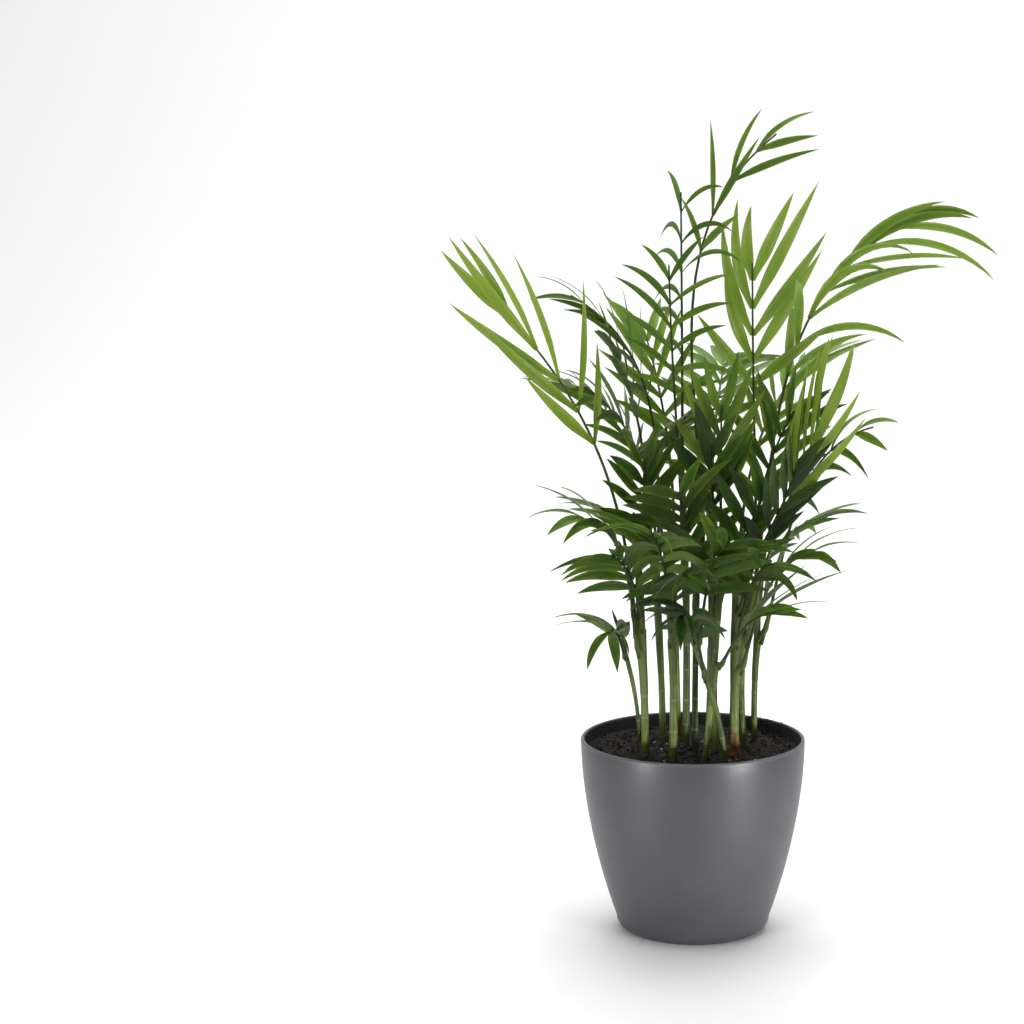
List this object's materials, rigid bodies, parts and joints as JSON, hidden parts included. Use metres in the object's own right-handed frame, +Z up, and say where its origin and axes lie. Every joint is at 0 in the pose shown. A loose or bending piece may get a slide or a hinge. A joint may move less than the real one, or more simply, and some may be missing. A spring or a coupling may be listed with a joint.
{
  "type": "potted palm",
  "caption": "Parlour palm: a clump of thin canes with arching pinnate fronds, growing in soil in a round tapered plastic cover pot.",
  "frame": {"origin": "centre of the pot's flat underside", "axes": "+Z up along the pot's axis, -Y towards the side the plant is seen from, +X to that viewer's right"},
  "size_m": [0.4233, 0.3573, 0.6567],
  "materials": {
    "pot_plastic": "matte anthracite moulded plastic, faint satin sheen",
    "soil": "moist crumbly potting mix with a few bits of perlite",
    "cane": "green cane with pale rings, half matte",
    "leaf": "thin smooth green leaf with fine lengthwise veins, soft satin"
  },
  "bodies": {
    "root": {"cane_01": "cane", "cane_02": "cane", "cane_03": "cane", "cane_04": "cane", "cane_05": "cane", "cane_06": "cane", "cane_07": "cane", "cane_08": "cane", "cane_09": "cane", "cane_10": "cane", "cane_11": "cane", "cane_12": "cane", "cane_13": "cane", "cane_14": "cane", "cane_15": "cane", "frond_back_arching": "leaf", "frond_back_centre": "leaf", "frond_back_hanging": "leaf", "frond_back_left": "leaf", "frond_back_low_left": "leaf", "frond_back_low_right": "leaf", "frond_back_right": "leaf", "frond_back_tall": "leaf", "frond_centre_dark": "leaf", "frond_centre_fan": "leaf", "frond_centre_left": "leaf", "frond_centre_low": "leaf", "frond_centre_tall": "leaf", "frond_centre_thin": "leaf", "frond_front_bright": "leaf", "frond_front_centre": "leaf", "frond_front_dark": "leaf", "frond_front_hanging": "leaf", "frond_front_left": "leaf", "frond_front_right": "leaf", "frond_left_behind": "leaf", "frond_left_broad": "leaf", "frond_left_hanging": "leaf", "frond_left_low": "leaf", "frond_left_middle": "leaf", "frond_left_tall": "leaf", "frond_left_upper": "leaf", "frond_middle_dark": "leaf", "frond_right_arching": "leaf", "frond_right_dark": "leaf", "frond_right_fan": "leaf", "frond_right_low": "leaf", "frond_right_lowest": "leaf", "frond_right_middle": "leaf", "frond_right_short": "leaf", "frond_right_upright": "leaf", "frond_top": "leaf", "pot": "pot_plastic", "soil": "soil"}
  },
  "joints": []
}
